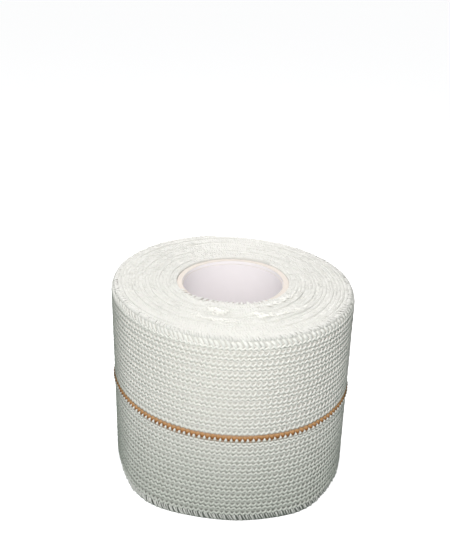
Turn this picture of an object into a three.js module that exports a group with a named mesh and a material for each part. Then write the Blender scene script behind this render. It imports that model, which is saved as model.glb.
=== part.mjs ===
// Elastic adhesive bandage: a crepe cloth strip wound on a paperboard core.
// Millimetres, +Z up. The roll stands on its end, and the origin is on the floor on the
// core's axis. Azimuth 0 is +X and grows counterclockwise seen from above.
import * as THREE from "three";

// Driving dimensions
const CLOTH_WIDTH = 50;
const ROLL_RADIUS = 30;
const CLOTH_THICKNESS = 0.87;
const CORE_BORE_RADIUS = 12.5;
const CORE_WALL = 1.4;
const CORE_SHORTFALL = 0.6; // the core ends this far under the cloth's top edge
const SEAT_GAP = 0.3; // between pieces that touch on the real roll

// Wound form
const OUT_OF_ROUND = 1; // how far the soft roll bulges past its mean radius
const BULGE_AZIMUTH = -45;
const CLOTH_END_AZIMUTH = 100; // the stuck down end of the strip, at the back
const END_FACE_ANGLE = 1; // the cut end's face leans over this much azimuth
const TOP_RIM_ROUND = 1.4;
const BASE_RIM_ROUND = 0.45;

// Where the soft roll spreads on its base, each an arc about the core
const BASE_SPREADS = [
  { azimuth: -131, halfSpan: 18, reach: 2.4 },
  { azimuth: -53, halfSpan: 11, reach: 1 },
];

// Raised rows of the weave, which run round the side
const RIB_PITCH = 2.58;
const RIB_DEPTH = 0.32;
const FIRST_VALLEY = 1.75;
const LAST_VALLEY = 47;

// Coloured centre yarn and the groove that it lies in
const YARN_HEIGHT = 24.13;
const YARN_HALF_HEIGHT = 0.6;
const YARN_HALF_DEPTH = 0.45;
const YARN_PROUD = 0.05; // past the crests of the ribs
const YARN_BEADS = 150;
const YARN_WAIST = 0.8; // section between two beads, against a bead's
const YARN_END_SETBACK = 0.006; // share of a turn left free at each end
const GROOVE_DEPTH = 2 * YARN_HALF_DEPTH - YARN_PROUD + SEAT_GAP;
const GROOVE_FLANK = 0.1;

// Cloth that leans over the core's rim at the front
const LIP_AZIMUTH = -100;
const LIP_HALF_SPAN = 44;
const LIP_REACH = 1.5;
const LIP_LEAST = 0.2;
const LIP_THICKNESS = 0.35;

// Turns pushed up or sunk on the top face: soft mounds, each an arc about the core
const TOP_MOUNDS = [
  { azimuth: -101, radius: 16.4, halfSpan: 9, halfWidth: 1.1, height: 0.85 },
  { azimuth: -71, radius: 18.2, halfSpan: 6, halfWidth: 1.3, height: 0.8 },
  { azimuth: -103, radius: 21.9, halfSpan: 14, halfWidth: 1.2, height: 0.45 },
  { azimuth: -52, radius: 21.3, halfSpan: 12, halfWidth: 1.2, height: 0.45 },
  { azimuth: -42, radius: 16.3, halfSpan: 17, halfWidth: 1.1, height: 0.5 },
  { azimuth: -85, radius: 19.6, halfSpan: 16, halfWidth: 1.2, height: -0.5 },
  { azimuth: -75, radius: 24.5, halfSpan: 40, halfWidth: 2.6, height: -0.35 },
  { azimuth: 120, radius: 24, halfSpan: 60, halfWidth: 3.5, height: -0.2 },
];

// Fineness
const COLUMNS = 72;
const TOP_RINGS = 14;
const RIM_STEPS = 3;
const YARN_SIDES = 6;
const CORE_SEGMENTS = 72;
const CORE_EDGE_BEVEL = 0.15;

const CLOTH_INNER_RADIUS = CORE_BORE_RADIUS + CORE_WALL + SEAT_GAP;
const CORE_HEIGHT = CLOTH_WIDTH - CORE_SHORTFALL;
const { degToRad } = THREE.MathUtils;

// The angle from b to a, between -180 and 180 degrees
const angleBetween = (a, b) => THREE.MathUtils.euclideanModulo(a - b + 180, 360) - 180;

// A soft hump that is 1 at its middle and fades to 0 at about twice its half width
const hump = (offset, halfWidth) => Math.exp(-Math.LN2 * (offset / halfWidth) ** 2);

// Where a point of the wound cloth lies, with the spiral and the soft roll's bulge.
// turn is the share of the outer turn from the strip's end, 0 to 1.
function woundPoint(radius, z, turn) {
  const azimuth = CLOTH_END_AZIMUTH + turn * (360 - END_FACE_ANGLE);
  const outward = (radius - CLOTH_INNER_RADIUS) / (ROLL_RADIUS - CLOTH_INNER_RADIUS);
  const spiral = Math.max(outward, 0) * CLOTH_THICKNESS * (0.5 - turn);
  const bulge =
    OUT_OF_ROUND * (radius / ROLL_RADIUS) ** 2 * Math.cos(2 * degToRad(azimuth - BULGE_AZIMUTH));
  const spread = BASE_SPREADS.map(
    (s) => s.reach * hump(angleBetween(azimuth, s.azimuth), s.halfSpan),
  ).reduce((sum, reach) => sum + reach, 0);
  const low = Math.max(1 - z / CLOTH_WIDTH, 0) ** 3;
  const onBase = spread * low * Math.max(outward, 0) ** 2;
  const r = radius + spiral + onBase + (radius > CLOTH_INNER_RADIUS ? bulge : 0);
  return new THREE.Vector3(r * Math.cos(degToRad(azimuth)), r * Math.sin(degToRad(azimuth)), z);
}

function topHeight(radius, azimuth) {
  const mounds = TOP_MOUNDS.map(
    (m) =>
      m.height *
      hump(angleBetween(azimuth, m.azimuth), m.halfSpan) *
      hump(radius - m.radius, m.halfWidth),
  );
  return CLOTH_WIDTH + mounds.reduce((sum, height) => sum + height, 0);
}

// Radius and height of the ribbed side, from the base up to the rounded top rim
function sideRows() {
  const rows = [[ROLL_RADIUS, FIRST_VALLEY / 2]];
  for (let z = FIRST_VALLEY; z < LAST_VALLEY; z += RIB_PITCH) {
    rows.push([ROLL_RADIUS - RIB_DEPTH, z], [ROLL_RADIUS, z + RIB_PITCH / 2]);
  }
  const grooveHalf = YARN_HALF_HEIGHT + SEAT_GAP;
  const floorRadius = ROLL_RADIUS - GROOVE_DEPTH;
  const groove = [
    [ROLL_RADIUS, YARN_HEIGHT - grooveHalf - GROOVE_FLANK],
    [floorRadius, YARN_HEIGHT - grooveHalf],
    [floorRadius, YARN_HEIGHT + grooveHalf],
    [ROLL_RADIUS - RIB_DEPTH, YARN_HEIGHT + grooveHalf + GROOVE_FLANK],
  ];
  const clear = ([, z]) => Math.abs(z - YARN_HEIGHT) > grooveHalf + 4 * GROOVE_FLANK;
  return [...rows.filter(clear), ...groove].sort((a, b) => a[1] - b[1]);
}

function topRimRows() {
  return Array.from({ length: RIM_STEPS + 1 }, (_, step) => {
    const angle = (step / RIM_STEPS) * (Math.PI / 2);
    return [
      ROLL_RADIUS - TOP_RIM_ROUND * (1 - Math.cos(angle)),
      CLOTH_WIDTH - TOP_RIM_ROUND * (1 - Math.sin(angle)),
    ];
  });
}

// The closed profile of the wound cloth at one azimuth, counterclockwise with the radius
// to the right: base, side, top rim, top face, lip over the core, inner wall.
function rollProfile(azimuth) {
  const topOuter = ROLL_RADIUS - TOP_RIM_ROUND;
  const topRings = Array.from({ length: TOP_RINGS }, (_, ring) => {
    const radius = topOuter - ((ring + 1) / TOP_RINGS) * (topOuter - CLOTH_INNER_RADIUS);
    return [radius, topHeight(radius, azimuth)];
  });
  const leaning = hump(angleBetween(azimuth, LIP_AZIMUTH), LIP_HALF_SPAN) ** 2;
  const lipRadius = CLOTH_INNER_RADIUS - LIP_LEAST - (LIP_REACH - LIP_LEAST) * leaning;
  const lipUnderside = CORE_HEIGHT + SEAT_GAP;
  return [
    [CLOTH_INNER_RADIUS, 0],
    [(CLOTH_INNER_RADIUS + ROLL_RADIUS) / 2, 0],
    [ROLL_RADIUS - BASE_RIM_ROUND, 0],
    ...sideRows(),
    ...topRimRows(),
    ...topRings,
    [lipRadius, lipUnderside + LIP_THICKNESS],
    [lipRadius, lipUnderside],
    [CLOTH_INNER_RADIUS, lipUnderside],
  ];
}

// A closed skin over rows of points, each row a closed loop. The rows close on each other
// into a ring, or are capped at the first and the last row.
function skin(rows, ring) {
  const perRow = rows[0].length;
  const positions = rows.flat().flatMap((point) => point.toArray());
  const index = [];
  const corner = (row, at) => (row % rows.length) * perRow + (at % perRow);
  for (let row = 0; row < rows.length - (ring ? 0 : 1); row++) {
    for (let at = 0; at < perRow; at++) {
      const [a, b] = [corner(row, at), corner(row + 1, at)];
      const [c, d] = [corner(row, at + 1), corner(row + 1, at + 1)];
      index.push(a, b, c, b, d, c);
    }
  }
  for (let at = 1; at < perRow - 1 && !ring; at++) {
    index.push(corner(0, 0), corner(0, at), corner(0, at + 1));
    const last = rows.length - 1;
    index.push(corner(last, 0), corner(last, at + 1), corner(last, at));
  }
  const geometry = new THREE.BufferGeometry();
  geometry.setAttribute("position", new THREE.Float32BufferAttribute(positions, 3));
  geometry.setIndex(index);
  geometry.computeVertexNormals();
  return geometry;
}

function bandageRoll() {
  const columns = Array.from({ length: COLUMNS + 1 }, (_, column) => {
    const turn = column / COLUMNS;
    const azimuth = CLOTH_END_AZIMUTH + turn * (360 - END_FACE_ANGLE);
    return rollProfile(azimuth).map(([radius, z]) => woundPoint(radius, z, turn));
  });
  const material = new THREE.MeshStandardMaterial({ color: 0xe6e8e0, roughness: 0.95 });
  return named("bandage_roll", skin(columns, true), material);
}

// The coloured yarn runs once round the outer turn, with a bead where each crossing
// thread leaves it free and a waist where one holds it down.
function centreYarn() {
  const steps = 2 * YARN_BEADS;
  const middleRadius = ROLL_RADIUS + YARN_PROUD - YARN_HALF_DEPTH;
  const sections = Array.from({ length: steps + 1 }, (_, step) => {
    const turn = YARN_END_SETBACK + (step / steps) * (1 - 2 * YARN_END_SETBACK);
    const size = step % 2 ? 1 : YARN_WAIST;
    return Array.from({ length: YARN_SIDES }, (_, side) => {
      const angle = (side / YARN_SIDES) * 2 * Math.PI;
      const radius = middleRadius + size * YARN_HALF_DEPTH * Math.cos(angle);
      return woundPoint(radius, YARN_HEIGHT + size * YARN_HALF_HEIGHT * Math.sin(angle), turn);
    });
  });
  const material = new THREE.MeshStandardMaterial({ color: 0xc4834a, roughness: 0.9 });
  return named("centre_yarn", skin(sections, false), material);
}

function coreTube() {
  const outer = CORE_BORE_RADIUS + CORE_WALL;
  const bevel = CORE_EDGE_BEVEL;
  const profile = [
    [CORE_BORE_RADIUS + bevel, 0],
    [outer, 0],
    [outer, CORE_HEIGHT - bevel],
    [outer - bevel, CORE_HEIGHT],
    [CORE_BORE_RADIUS + bevel, CORE_HEIGHT],
    [CORE_BORE_RADIUS, CORE_HEIGHT - bevel],
    [CORE_BORE_RADIUS, bevel],
    [CORE_BORE_RADIUS + bevel, 0],
  ].map(([radius, z]) => new THREE.Vector2(radius, z));
  const geometry = new THREE.LatheGeometry(profile, CORE_SEGMENTS).rotateX(Math.PI / 2);
  const material = new THREE.MeshStandardMaterial({ color: 0xe9e2da, roughness: 0.85 });
  return named("core_tube", geometry, material);
}

function named(name, geometry, material) {
  const mesh = new THREE.Mesh(geometry, material);
  mesh.name = name;
  return mesh;
}

const group = new THREE.Group();
group.add(coreTube(), bandageRoll(), centreYarn());

export default group;
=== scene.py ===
import math

import bpy
import numpy as np
from bpy.props import FloatProperty, FloatVectorProperty, IntProperty, PointerProperty
from bpy.types import Operator, Panel, PropertyGroup
from mathutils import Matrix, Vector


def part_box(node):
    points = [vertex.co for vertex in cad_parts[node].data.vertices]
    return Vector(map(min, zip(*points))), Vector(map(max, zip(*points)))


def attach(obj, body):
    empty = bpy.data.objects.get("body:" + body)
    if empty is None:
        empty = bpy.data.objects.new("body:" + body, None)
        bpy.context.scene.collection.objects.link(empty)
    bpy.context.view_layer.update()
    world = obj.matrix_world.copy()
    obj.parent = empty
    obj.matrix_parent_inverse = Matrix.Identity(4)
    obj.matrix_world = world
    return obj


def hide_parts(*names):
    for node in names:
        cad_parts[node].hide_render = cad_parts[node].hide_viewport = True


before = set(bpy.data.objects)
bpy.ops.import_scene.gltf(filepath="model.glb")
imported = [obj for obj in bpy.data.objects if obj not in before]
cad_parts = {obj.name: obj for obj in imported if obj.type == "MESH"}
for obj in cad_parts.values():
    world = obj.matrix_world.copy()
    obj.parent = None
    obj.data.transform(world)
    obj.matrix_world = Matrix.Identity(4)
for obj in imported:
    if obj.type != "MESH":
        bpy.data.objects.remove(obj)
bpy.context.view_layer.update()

bl_info = {
    "name": "Elastic Bandage Roll",
    "version": (1, 0, 0),
    "blender": (4, 5, 0),
    "location": "3D View > Sidebar > Bandage",
    "description": "Builds a crepe cloth bandage wound on a paperboard core",
    "category": "Add Mesh",
}

MM = 0.001
CORE_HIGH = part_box("core_tube")[1]
MERGE_DISTANCE = 0.001 * MM

# Core
BORE_RADIUS = 12.5 * MM
BOARD_RISE = 0.22 * MM  # the board's end above the solid's
BOARD_ROUND = 0.16 * MM
BOARD_WAVERS = ((0.02, 3, 1), (0.03, 2, 0))  # mm, waves in a turn, phase
WAVER_DEPTH = 4 * MM
LINING_THICKNESS = 0.12 * MM
LINING_TOP = 0.9 * MM  # the lining paper's edge below the board's end
LINING_LEDGE = 0.04 * MM
LINING_FOOT = 0.4 * MM

# Wound form, as in the solids. Azimuths are counterclockwise from +X, seen from above.
END_AZIMUTH = math.radians(100)
OUTER_ANGLE = math.radians(359)
BULGE = 1 * MM
BULGE_AZIMUTH = math.radians(-45)
SOFT_RADIUS = 30 * MM  # where the bulge and the foot's spread are full
RIM_ROUND = 1.4 * MM
GROUND_DEPTH = 0.45 * MM  # ground cloth under the crests of the outer turn's yarns
GROUND_THICKNESS = 0.39 * MM
TURN_THICKNESS = 0.83 * MM
SEAM_SHARE = 0.03  # of a turn, over which the outer turn's section becomes an inner one's
STEP_START = 0.93  # of a turn, after which the cloth steps over the strip's start
STEP_LAG = 0.45  # of the pitch, by which the stepped turns lag behind an even spiral
STEP_TURNS = 6  # over which the step dies out
EXTRA_TURNS = 0.95  # half the outer turn, and the lag
FIRST_VALLEY = 1.75 * MM
BANDS = 19
MARKER_BAND = 8
LIP_AZIMUTH = math.radians(-100)
LIP_HALF_SPAN = math.radians(44)
LIP_REACH = 1.35 * MM
LIP_TURNS = (0.9, 1.9)  # from the core, between which the lip ends
RIM_CLEARANCE = 0.1 * MM
TOP_RIPPLES = ((0.07, 0.61, 1), (0.06, 3.37, 0), (0.05, 7.9, 2), (0.03, 17.3, 0))  # as above

# Turns pushed up or sunk on the top face: azimuth and half span in degrees, the rest in mm
TOP_MOUNDS = (
    {"azimuth": -101, "radius": 16.4, "half_span": 9, "half_width": 1.1, "height": 0.85},
    {"azimuth": -71, "radius": 18.2, "half_span": 6, "half_width": 1.3, "height": 0.8},
    {"azimuth": -103, "radius": 21.9, "half_span": 14, "half_width": 1.2, "height": 0.45},
    {"azimuth": -52, "radius": 21.3, "half_span": 12, "half_width": 1.2, "height": 0.45},
    {"azimuth": -42, "radius": 16.3, "half_span": 17, "half_width": 1.1, "height": 0.5},
    {"azimuth": -85, "radius": 19.6, "half_span": 16, "half_width": 1.2, "height": -0.5},
    {"azimuth": -75, "radius": 24.5, "half_span": 40, "half_width": 2.6, "height": -0.35},
    {"azimuth": 120, "radius": 24, "half_span": 60, "half_width": 3.5, "height": -0.2},
)

# Where the soft roll spreads on its base: azimuth and half span in degrees, reach in mm
BASE_SPREADS = (
    {"azimuth": -131, "half_span": 18, "reach": 2.4},
    {"azimuth": -53, "half_span": 11, "reach": 1.0},
)
SPREAD_HEIGHT = 50 * MM
SIDE_HEIGHTS = tuple(height * MM for height in (4, 9, 15, 23, 34))  # corners up a turn's side

# Round top edge of an inner turn's section, from its outer side: the place it is measured
# from, mm outwards of it, share of the lip's lean, and mm below the top
TOP_EDGE = (
    ("outer", 0.0, 0.0, 0.12),
    ("outer", -0.05, 0.25, 0.05),
    ("outer", -0.18, 0.5, 0.01),
    ("middle", 0.0, 0.8, 0.0),
    ("inner", 0.18, 1.0, 0.01),
    ("inner", 0.05, 1.0, 0.05),
    ("inner", 0.0, 0.95, 0.12),
    ("inner", 0.0, 0.0, 0.42),
)

# One repeat of each yarn: share of the repeat along the strip, mm up from the band's
# middle, mm off the ground cloth
CREST_PATH = (
    (0.37, 1.03, 0.23),
    (0.55, 0.73, 0.23),
    (0.74, 0.42, 0.19),
    (0.96, 0.59, 0.22),
    (1.20, 0.87, 0.24),
)
CREST_GIRTH = (1.15, 1.05, 1.15, 1.0, 1.05)
FOOT_PATH = (
    (0.00, -1.06, 0.23),
    (0.25, -0.77, 0.25),
    (0.50, -0.49, 0.24),
    (0.73, 0.36, 0.04),
    (0.56, -0.47, 0.07),
    (0.78, -0.77, 0.21),
)
FOOT_GIRTH = (1.15, 1.1, 1.1, 0.5, 1.05, 1.15)
BINDER_PATH = (
    (0.00, -1.14, 0.23),
    (0.25, -1.00, 0.25),
    (0.40, -0.92, 0.16),
    (0.49, -0.72, -0.12),
    (0.56, -0.36, 0.36),
    (0.64, -0.05, 0.60),
    (0.72, 0.28, 0.58),
    (0.77, 0.46, 0.10),
    (0.56, -0.74, -0.08),
    (0.76, -0.98, 0.20),
)
BINDER_GIRTH = (1.15, 1.1, 0.9, 0.6, 0.95, 1.15, 1.05, 0.4, 0.6, 1.1)
STRETCH_PATH = ((0.0, 0.0, -0.03), (0.5, 0.0, 0.0))
VALLEY_PATH = ((0.25, -1.29, -0.10), (0.75, -1.29, -0.07))
# Straight yarns of brownish painted shade along both edges of the coloured yarn's beads
BEAD_SHADE_PATHS = (((0.0, -0.46, 0.02), (0.5, -0.46, 0.04)), ((0.0, 1.12, -0.05), (0.5, 1.12, -0.03)))
STRETCH_GIRTH = (1.0, 0.88)
MARKER_PATH = (
    (0.72, 0.47, -0.02),
    (0.86, 0.46, 0.03),
    (1.02, 0.45, 0.08),
    (1.20, 0.44, 0.11),
    (1.38, 0.45, 0.09),
    (1.56, 0.46, 0.04),
)
MARKER_GIRTH = (0.62, 0.90, 1.10, 1.20, 1.12, 0.90)
YARN_FLATNESS = 1.3  # a yarn's width along the cloth, against its height off it
BAND_SHIFT = 0.1  # spread of the bands' shifts along the strip, in repeats
YARN_UNEVENNESS = (0.045 * MM, 0.045 * MM, 0.025 * MM)

# Thread ends at the rim and the base, a row for each layer. In mm: shift along the strip,
# half width, height off the ground cloth, start and end from the cloth's edge, lean, and
# lift of the middle
RIM_STROKES = (
    {"seed": 612, "shift": 0.62, "half_width": 0.43, "off_cloth": 0.13, "start": -2.35,
     "end": -0.35, "lean": 1.15, "arch": 0.05},
)
RIM_ENDS = (
    {"seed": 611, "shift": 0.60, "half_width": 0.32, "off_cloth": 0.05, "start": -0.6,
     "end": 0.9, "lean": 0.62, "arch": 0.22},
    {"seed": 610, "shift": 0.0, "half_width": 0.34, "off_cloth": 0.18, "start": -0.6,
     "end": 1.1, "lean": 0.62, "arch": 0.22},
)
BASE_ENDS = (
    {"seed": 600, "shift": 0.0, "half_width": 0.21},
    {"seed": 601, "shift": 0.62, "half_width": 0.13},
)
WIDTH_SPREAD = 0.12  # share by which those ends differ in width

# The first turn's ends over the core: how many, and angles in degrees
BORE_ENDS = 19
BORE_SPAN = (-154, -52)
BORE_UNEVENNESS = 0.9
# Dark strokes of painted shade in the gaps beside the first turn's ends
GAP_SHADE_SHIFT = 2.6  # from an end to the gap beside it
GAP_SHADE_ENDS = slice(1, -5)  # the ends that have such a gap

# Pulled threads on the top face: threads besides those for the mound's span, spread along
# it as a share of that span, degrees round and mm outwards from its top, half length in mm,
# slant in radians, half width in mm
TUFT_HEIGHT = 0.7  # mm, above which a mound carries a tuft
TUFT = {"extra": 16, "spread": 0.45, "turned": 2, "outwards": 1.4, "half": 0.36,
        "slant": 0.75, "broad": 0.3}
RUFFLE = {"extra": 6, "spread": 0.6, "turned": 0, "outwards": 0, "half": 0.5,
          "slant": 0.3, "broad": 0.18}

# Long loose fibres on the top face: radius in mm, azimuth in degrees, half length in mm,
# slant in radians
LOOSE_HAIRS = (
    (16.1, 102, 2.7, 1.5),
    (22.4, -140, 1.6, 0.7),
    (24.9, 35, 1.4, 2.4),
    (19.0, -12, 1.2, 0.4),
    (26.0, -60, 1.5, 1.1),
    (20.5, 165, 1.2, 2.0),
)

# Shade that stands in for the dark round the studio: where it fades, and what is left of
# the colour in it
SIDE_FACING = (0.62, 0.97)  # how far the side faces away, from 0 to 1
SIDE_SHADE = (0.53, 0.555, 0.535, 1.0)
FLOOR_SHADE_HEIGHT = 28 * MM
FLOOR_SHADE = (0.74, 0.775, 0.745, 1.0)
DEEP_SHADE_HEIGHTS = (4 * MM, 32 * MM)
DEEP_SHADE = 0.6
YARN_DIPS = (0.05 * MM, 0.38 * MM)  # off the ground cloth, between which a yarn takes on painted shade

# Softboxes: place and target in metres, size across in metres, power in watts
LAMPS = (
    {"name": "Key softbox", "place": (-0.005, -0.165, 0.172), "target": (0, -0.02, 0.05),
     "size": 0.08, "power": 0.234, "colour": (1, 0.985, 0.965)},
    {"name": "Low softbox", "place": (-0.035, -0.16, 0.09), "target": (0, -0.03, 0.05),
     "size": 0.10, "power": 0.047, "colour": (1, 1, 1)},
    {"name": "Overhead softbox", "place": (-0.01, 0.10, 0.40), "target": (0, 0, 0.04),
     "size": 0.20, "power": 0.128, "colour": (1, 0.97, 0.96)},
    {"name": "Back softbox", "place": (-0.02, 0.14, 0.16), "target": (0, 0.02, 0.05),
     "size": 0.10, "power": 0.240, "colour": (1, 0.97, 0.98)},
)
FILL_COLOUR = (0.98, 0.99, 1.0, 1.0)
FILL_STRENGTH = 0.40
BACKDROP_COLOUR = (0.93, 0.93, 0.93, 1.0)
FLOOR_GLOW = 0.6
FLOOR_RADIUS = 6.0

CAMERA = {
    "distance": 212.4 * MM,
    "elevation": math.radians(31.4646),
    "roll": math.radians(-1.6152),
    "aim_right": math.radians(-0.395),
    "aim_up": math.radians(6.5242),
    "lens": 53.1,
    "sensor": 36.0,
}


class BandageSizes(PropertyGroup):
    cloth_width: FloatProperty(
        name="Cloth width", description="Width of the strip, and height of the roll",
        default=50 * MM, unit="LENGTH")
    roll_radius: FloatProperty(
        name="Roll radius", description="Mean radius at the crests of the outer turn",
        default=30 * MM, unit="LENGTH")
    turn_pitch: FloatProperty(
        name="Turn pitch", description="Distance from one turn to the next",
        default=0.85 * MM, unit="LENGTH")
    first_radius: FloatProperty(
        name="First turn radius", description="Inner radius of the first turn on the core",
        default=CORE_HIGH[0] + 0.04 * MM, unit="LENGTH")
    band_pitch: FloatProperty(
        name="Band pitch", description="Distance between two rows of the weave",
        default=2.58 * MM, unit="LENGTH")
    repeats: IntProperty(
        name="Repeats", description="Weave repeats round the outer turn", default=150)
    yarn_radius: FloatProperty(
        name="Yarn radius", description="Radius of the zigzag yarns",
        default=0.21 * MM, unit="LENGTH")
    stretch_yarn_radius: FloatProperty(
        name="Stretch yarn radius", description="Radius of the straight elastic yarns",
        default=0.26 * MM, unit="LENGTH")
    marker_radius: FloatProperty(
        name="Centre yarn radius", description="Radius of the coloured yarn's beads",
        default=0.46 * MM, unit="LENGTH")
    loop_spacing: FloatProperty(
        name="Loop spacing", description="Distance between thread loops on a cloth edge",
        default=0.62 * MM, unit="LENGTH")


class BandageColours(PropertyGroup):
    cloth: FloatVectorProperty(
        name="Cloth", description="Bleached yarn", subtype="COLOR", size=3,
        default=(0.92, 0.915, 0.875), min=0, max=1)
    edge: FloatVectorProperty(
        name="Cloth edge", description="Thread ends on the cloth's two edges",
        subtype="COLOR", size=3, default=(0.77, 0.77, 0.735), min=0, max=1)
    # Partly the ground cloth's own duller tone, partly painted shade between the yarns
    ground: FloatVectorProperty(
        name="Ground", description="Ground cloth seen between the yarns", subtype="COLOR",
        size=3, default=(0.76, 0.74, 0.695), min=0, max=1)
    # Shaded and lit copies of the coloured yarn's colour: painted shade on the beads' lower side,
    # and a painted highlight on their upper side
    marker: FloatVectorProperty(
        name="Centre yarn", description="Coloured centre yarn", subtype="COLOR", size=3,
        default=(0.30, 0.105, 0.018), min=0, max=1)
    marker_painted_highlight: FloatVectorProperty(
        name="Centre yarn, light", description="Rubbed crests of the coloured yarn",
        subtype="COLOR", size=3, default=(0.57, 0.325, 0.155), min=0, max=1)
    # Brownish painted shade along both edges of the coloured yarn's beads
    tinted: FloatVectorProperty(
        name="Bead shade", description="Ground yarn that the coloured yarn's dye has reached",
        subtype="COLOR", size=3, default=(0.56, 0.39, 0.28), min=0, max=1)
    # Painted shade between the first turn's ends over the core, where shade falls under them
    sticky: FloatVectorProperty(
        name="Sticky side", description="Adhesive on the strip's inner side", subtype="COLOR",
        size=3, default=(0.47, 0.43, 0.39), min=0, max=1)
    board: FloatVectorProperty(
        name="Board", description="Paper face of the core's wall", subtype="COLOR", size=3,
        default=(0.95, 0.92, 0.935), min=0, max=1)
    board_cut: FloatVectorProperty(
        name="Cut board", description="Cut end of the core", subtype="COLOR", size=3,
        default=(0.70, 0.645, 0.585), min=0, max=1)
    floor: FloatVectorProperty(
        name="Floor", description="Studio floor", subtype="COLOR", size=3,
        default=(0.95, 0.95, 0.95), min=0, max=1)
    floor_bounce: FloatVectorProperty(
        name="Floor bounce", description="Share of the light that the floor throws back",
        subtype="COLOR", size=3, default=(0.165, 0.235, 0.195), min=0, max=1)


# Shapes of the wound roll

def smoothstep(values, low, high):
    share = np.clip((values - low) / (high - low), 0, 1)
    return share * share * (3 - 2 * share)


def hump(offset, half_width):
    """1 at its middle, and fades to 0 at about twice its half width."""
    return np.exp(-math.log(2) * (offset / half_width) ** 2)


def angle_between(a, b):
    return (a - b + math.pi) % (2 * math.pi) - math.pi


def ripple(azimuth, waves):
    """Sum of waves, each with its size in mm, its rate and its phase."""
    return sum(size * np.sin(rate * azimuth + phase) for size, rate, phase in waves)


def flat_points(x, y, z):
    """A row for each point, from three columns. One value may stand for a whole column."""
    return np.stack(np.broadcast_arrays(x, y, z), -1)


def seeded_draw(seed, *shape):
    return np.random.default_rng(seed).normal(0, 1, shape)


def uneven(draw, mean, spread):
    """Lengths round a mean, both in mm, from one column of a draw."""
    return (mean + spread * draw) * MM


def place_round(azimuth, radius, height):
    """Cylinder coordinates to points, with the soft roll's bulge and its spread on the base,
    which both fade to the core."""
    first = CORE_HIGH[0]
    share = np.clip((radius - first) / (SOFT_RADIUS - first), 0, None)
    r = radius + BULGE * share * np.cos(2 * (azimuth - BULGE_AZIMUTH))
    low = np.clip(1 - height / SPREAD_HEIGHT, 0, 1) ** 3
    for spread in BASE_SPREADS:
        offset = angle_between(azimuth, math.radians(spread["azimuth"]))
        along = hump(offset, math.radians(spread["half_span"]))
        r = r + spread["reach"] * MM * share**2 * low * along
    return np.stack((r * np.cos(azimuth), r * np.sin(azimuth), height), axis=-1)


def top_height(sizes, radius, azimuth):
    height = np.full(np.shape(radius), sizes.cloth_width)
    for mound in TOP_MOUNDS:
        across = hump(radius - mound["radius"] * MM, mound["half_width"] * MM)
        offset = angle_between(azimuth, math.radians(mound["azimuth"]))
        along = hump(offset, math.radians(mound["half_span"]))
        height = height + mound["height"] * MM * across * along
    return height


def outer_length(sizes):
    return 2 * math.pi * sizes.roll_radius


def turn_radius(sizes, turn):
    """Outer radius of the cloth. turn counts inwards from the strip's outer end."""
    return sizes.roll_radius + sizes.turn_pitch * (0.5 - turn)


def wind(sizes, flat):
    """Points of the flat strip to the outer turn. x runs along the strip from its end, y up
    the side and over the rim, and z off the ground cloth."""
    x, y, z = np.moveaxis(flat, -1, 0)
    turn = x / outer_length(sizes)
    rim_start = sizes.cloth_width - RIM_ROUND
    quarter = (RIM_ROUND - GROUND_DEPTH / 2) * math.pi / 2
    arc = np.clip((y - rim_start) / quarter, 0, 1) * math.pi / 2
    past = np.maximum(y - rim_start - quarter, 0)
    out = RIM_ROUND - GROUND_DEPTH + z
    radius = turn_radius(sizes, turn) - RIM_ROUND + out * np.cos(arc) - past
    height = np.minimum(y, rim_start) + out * np.sin(arc)
    return place_round(END_AZIMUTH + turn * OUTER_ANGLE, radius, height)


def turn_count(sizes):
    depth = sizes.roll_radius - GROUND_DEPTH - GROUND_THICKNESS - sizes.first_radius
    return depth / sizes.turn_pitch + EXTRA_TURNS


def cloth_edges(sizes, turn):
    """Inner radius, outer radius, azimuth and top height of the wound strip. The first turns
    step over the strip's start, and the step dies out in the next few."""
    from_core = turn_count(sizes) - turn
    step = np.floor(from_core) + smoothstep(from_core % 1, STEP_START, 1)
    even = np.clip(from_core / STEP_TURNS, 0, 1)
    steps = (1 - even) * step + even * (from_core - STEP_LAG)
    inner = sizes.first_radius + sizes.turn_pitch * steps
    is_outer = 1 - smoothstep(turn, 1, 1 + SEAM_SHARE)
    outer = inner + TURN_THICKNESS + (GROUND_THICKNESS - TURN_THICKNESS) * is_outer
    azimuth = END_AZIMUTH + turn * 2 * math.pi
    top = top_height(sizes, (inner + outer) / 2, azimuth)
    top = top + ripple(azimuth, TOP_RIPPLES) * MM
    rim_centre = turn_radius(sizes, np.minimum(turn % 1, 1)) - RIM_ROUND
    beyond = np.maximum(outer - rim_centre, 0)
    ground_arc = RIM_ROUND - GROUND_DEPTH
    drop = ground_arc - np.sqrt(np.maximum(ground_arc**2 - beyond**2, 0))
    rim_height = sizes.cloth_width - GROUND_DEPTH - RIM_CLEARANCE - drop
    top = np.where((beyond > 0) & (turn > 1), np.minimum(top, rim_height), top)
    return inner, outer, azimuth, top


def lip_lean(azimuth):
    """How far the first turn's edge leans over the core, from 0 to 1."""
    return hump(angle_between(azimuth, LIP_AZIMUTH), LIP_HALF_SPAN) ** 2


def lip_by_turn(sizes, turn, azimuth):
    """The lip's lean, which ends after the first turns."""
    near_core = 1 - smoothstep(turn_count(sizes) - turn, *LIP_TURNS)
    return LIP_REACH * lip_lean(azimuth) * near_core


# Mesh helpers

def deselect_all():
    if bpy.context.object and bpy.context.object.mode != "OBJECT":
        bpy.ops.object.mode_set(mode="OBJECT")
    bpy.ops.object.select_all(action="DESELECT")


def select_all_in_edit():
    bpy.ops.object.mode_set(mode="EDIT")
    bpy.ops.mesh.select_all(action="SELECT")


def made(name):
    """The object that an operator has just added, under its name."""
    obj = bpy.context.object
    obj.name = name
    obj.data.name = name
    return obj


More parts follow.
